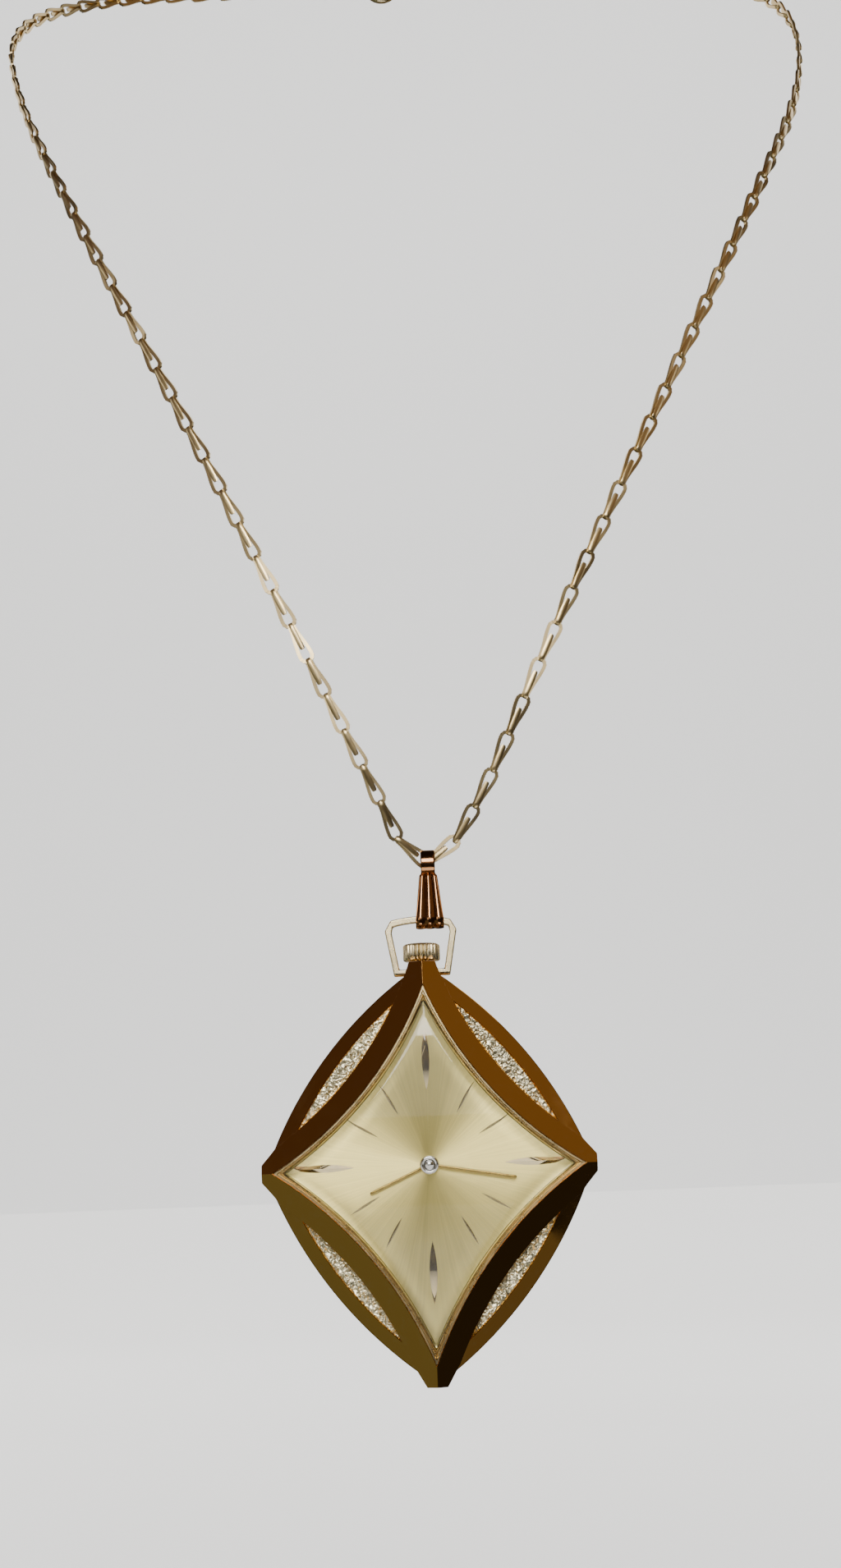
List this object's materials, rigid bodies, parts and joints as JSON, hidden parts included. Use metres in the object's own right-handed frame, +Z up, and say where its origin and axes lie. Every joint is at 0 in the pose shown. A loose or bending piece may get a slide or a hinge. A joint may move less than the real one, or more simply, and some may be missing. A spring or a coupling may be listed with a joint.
{
  "type": "fob watch",
  "caption": "Diamond-shaped pendant watch with a hollow-sided front frame, textured panels, crown, bow and bail, on its neck chain.",
  "frame": {"origin": "the clasp at the nape, where the neck carries the chain", "axes": "+X to the right as the dial is read, +Y from the dial towards the case back, +Z up the hanging chain"},
  "size_m": [0.1208, 0.1005, 0.231],
  "materials": {
    "gold_frame": "polished gold plate",
    "gold_band": "polished gold plate, textured panels",
    "gold_back": "brushed gold plate",
    "pale_gold": "worn pale gold plate",
    "crystal": "clear acrylic",
    "dial_gold": "sunburst champagne",
    "marker_gold": "polished facets",
    "hand_gold": "polished",
    "steel": "polished steel",
    "blued_steel": "blued steel",
    "movement_brass": "brushed brass",
    "movement_nickel": "nickel plate",
    "ruby": "synthetic ruby",
    "grey_ring": "matt"
  },
  "bodies": {
    "necklace": {"chain": "pale_gold", "clasp_ring": "pale_gold", "clasp_spring": "steel", "end_ring": "pale_gold"},
    "clasp_bolt": {"clasp_bolt": "pale_gold"},
    "bail": {"bail": "gold_frame"},
    "bow": {"bow": "pale_gold"},
    "case": {"front_frame": "gold_frame", "case_band": "gold_band", "crystal": "crystal", "crystal_ring": "pale_gold", "movement_ring": "grey_ring", "pendant_tube": "gold_band", "dial": "dial_gold", "dial_feet": "movement_brass", "large_markers": "marker_gold", "small_markers": "marker_gold", "mainplate": "movement_nickel", "barrel_bridge": "movement_nickel", "train_bridge": "movement_nickel", "balance_cock": "movement_nickel", "bridge_screws": "blued_steel", "jewels": "ruby", "crown_wheel_screw": "blued_steel", "click_spring": "blued_steel", "setting_spring": "steel"},
    "case_back": {"case_back": "gold_back"},
    "minute_hand": {"centre_wheel": "movement_brass", "cannon_pinion": "steel", "minute_hand": "hand_gold", "hand_cap": "steel"},
    "hour_hand": {"hour_wheel": "movement_brass", "hour_hand": "hand_gold"},
    "minute_wheel": {"minute_wheel": "movement_brass"},
    "setting_wheel": {"setting_wheel": "steel"},
    "barrel": {"barrel": "movement_brass", "barrel_cover": "movement_brass", "mainspring": "blued_steel"},
    "third_wheel": {"third_wheel": "movement_brass"},
    "fourth_wheel": {"fourth_wheel": "movement_brass"},
    "escape_wheel": {"escape_wheel": "steel"},
    "pallet_fork": {"pallet_fork": "steel"},
    "balance": {"balance_wheel": "movement_brass", "hairspring": "blued_steel"},
    "regulator": {"regulator": "steel"},
    "ratchet": {"ratchet_wheel": "steel", "ratchet_screw": "blued_steel", "barrel_arbor": "steel"},
    "crown_wheel": {"crown_wheel": "steel"},
    "click": {"click": "steel"},
    "winding_pinion": {"winding_pinion": "steel"},
    "sliding_pinion": {"sliding_pinion": "steel"},
    "crown": {"crown": "pale_gold", "stem": "steel"},
    "setting_lever": {"setting_lever": "steel"},
    "yoke": {"yoke": "steel"}
  },
  "joints": [
    {"name": "bail_swing", "type": "hinge", "parent": "necklace", "child": "bail", "pos_m": [0.0012, -0.0925, -0.1641], "axis": [1, 0, 0], "range_deg": [-35, 35]},
    {"name": "bow_swing", "type": "hinge", "parent": "bail", "child": "bow", "pos_m": [0.0012, -0.0925, -0.17117], "axis": [1, 0, 0], "range_deg": [-35, 35]},
    {"name": "case_swing", "type": "hinge", "parent": "bow", "child": "case", "pos_m": [0, -0.0925, -0.1778], "axis": [1, 0, 0], "range_deg": [-60, 60]},
    {"name": "back_off", "type": "slide", "parent": "case", "child": "case_back", "axis": [0, 1, 0], "range_m": [0, 0.012]},
    {"name": "minute_turn", "type": "hinge", "parent": "case", "child": "minute_hand", "pos_m": [0, -0.0957, -0.2015], "axis": [0, 1, 0], "continuous": true},
    {"name": "hour_turn", "type": "hinge", "parent": "case", "child": "hour_hand", "pos_m": [0, -0.0957, -0.2015], "axis": [0, 1, 0], "continuous": true},
    {"name": "minute_wheel_turn", "type": "hinge", "parent": "case", "child": "minute_wheel", "pos_m": [-0.00125, -0.0925, -0.1989], "axis": [0, 1, 0], "continuous": true},
    {"name": "setting_wheel_turn", "type": "hinge", "parent": "case", "child": "setting_wheel", "pos_m": [-0.0001, -0.0925, -0.19625], "axis": [0, 1, 0], "continuous": true},
    {"name": "barrel_turn", "type": "hinge", "parent": "case", "child": "barrel", "pos_m": [0.00405, -0.0925, -0.19965], "axis": [0, 1, 0], "continuous": true},
    {"name": "third_wheel_turn", "type": "hinge", "parent": "case", "child": "third_wheel", "pos_m": [0, -0.0925, -0.2051], "axis": [0, 1, 0], "continuous": true},
    {"name": "fourth_wheel_turn", "type": "hinge", "parent": "case", "child": "fourth_wheel", "pos_m": [-0.00275, -0.0925, -0.20645], "axis": [0, 1, 0], "continuous": true},
    {"name": "escape_wheel_turn", "type": "hinge", "parent": "case", "child": "escape_wheel", "pos_m": [-0.0051, -0.0925, -0.2053], "axis": [0, 1, 0], "continuous": true},
    {"name": "pallet_rock", "type": "hinge", "parent": "case", "child": "pallet_fork", "pos_m": [-0.0062, -0.0925, -0.20363], "axis": [0, 1, 0], "range_deg": [-5, 5]},
    {"name": "balance_swing", "type": "hinge", "parent": "case", "child": "balance", "pos_m": [-0.0052, -0.0925, -0.2], "axis": [0, 1, 0], "range_deg": [-220, 220], "stiffness_Nm_per_rad": 0.000001},
    {"name": "regulator_shift", "type": "hinge", "parent": "case", "child": "regulator", "pos_m": [-0.0052, -0.0925, -0.2], "axis": [0, 1, 0], "range_deg": [-20, 20]},
    {"name": "crown_turn", "type": "hinge", "parent": "case", "child": "winding_pinion", "pos_m": [0, -0.0925, -0.1949], "axis": [0, 0, 1], "continuous": true},
    {"name": "crown_pull", "type": "slide", "parent": "winding_pinion", "child": "crown", "axis": [0, 0, 1], "range_m": [0, 0.0009]},
    {"name": "clutch_shift", "type": "slide", "parent": "winding_pinion", "child": "sliding_pinion", "axis": [0, 0, 1], "range_m": [-0.0005, 0]},
    {"name": "setting_lever_turn", "type": "hinge", "parent": "case", "child": "setting_lever", "pos_m": [0.00195, -0.0925, -0.19315], "axis": [0, 1, 0], "range_deg": [0, 26]},
    {"name": "yoke_turn", "type": "hinge", "parent": "case", "child": "yoke", "pos_m": [-0.0026, -0.0925, -0.1946], "axis": [0, 1, 0], "range_deg": [0, 15]},
    {"name": "crown_wheel_turn", "type": "hinge", "parent": "case", "child": "crown_wheel", "pos_m": [0, -0.0925, -0.1964], "axis": [0, 1, 0], "continuous": true},
    {"name": "ratchet_turn", "type": "hinge", "parent": "case", "child": "ratchet", "pos_m": [0.00405, -0.0925, -0.19965], "axis": [0, 1, 0], "continuous": true},
    {"name": "click_lift", "type": "hinge", "parent": "case", "child": "click", "pos_m": [0.008, -0.0925, -0.1979], "axis": [0, 1, 0], "range_deg": [-8, 0], "stiffness_Nm_per_rad": 0.00001},
    {"name": "clasp_open", "type": "hinge", "parent": "necklace", "child": "clasp_bolt", "pos_m": [-0.00085, 0, 0], "axis": [0, 1, 0], "range_deg": [0, 60], "stiffness_Nm_per_rad": 0.0001}
  ],
  "couplings": [
    {"joint": "hour_turn", "follows": "minute_turn", "ratio": 0.083333},
    {"joint": "minute_wheel_turn", "follows": "minute_turn", "ratio": -0.33333},
    {"joint": "setting_wheel_turn", "follows": "minute_turn", "ratio": 0.85714},
    {"joint": "barrel_turn", "follows": "minute_turn", "ratio": -0.13333},
    {"joint": "third_wheel_turn", "follows": "minute_turn", "ratio": -8},
    {"joint": "fourth_wheel_turn", "follows": "minute_turn", "ratio": 60},
    {"joint": "escape_wheel_turn", "follows": "minute_turn", "ratio": -600},
    {"joint": "clutch_shift", "follows": "crown_pull", "ratio": -0.55556},
    {"joint": "setting_lever_turn", "follows": "crown_pull", "rad_per_m": 500},
    {"joint": "yoke_turn", "follows": "crown_pull", "rad_per_m": 280},
    {"joint": "crown_wheel_turn", "follows": "crown_turn", "ratio": -0.5},
    {"joint": "ratchet_turn", "follows": "crown_turn", "ratio": 0.3}
  ]
}
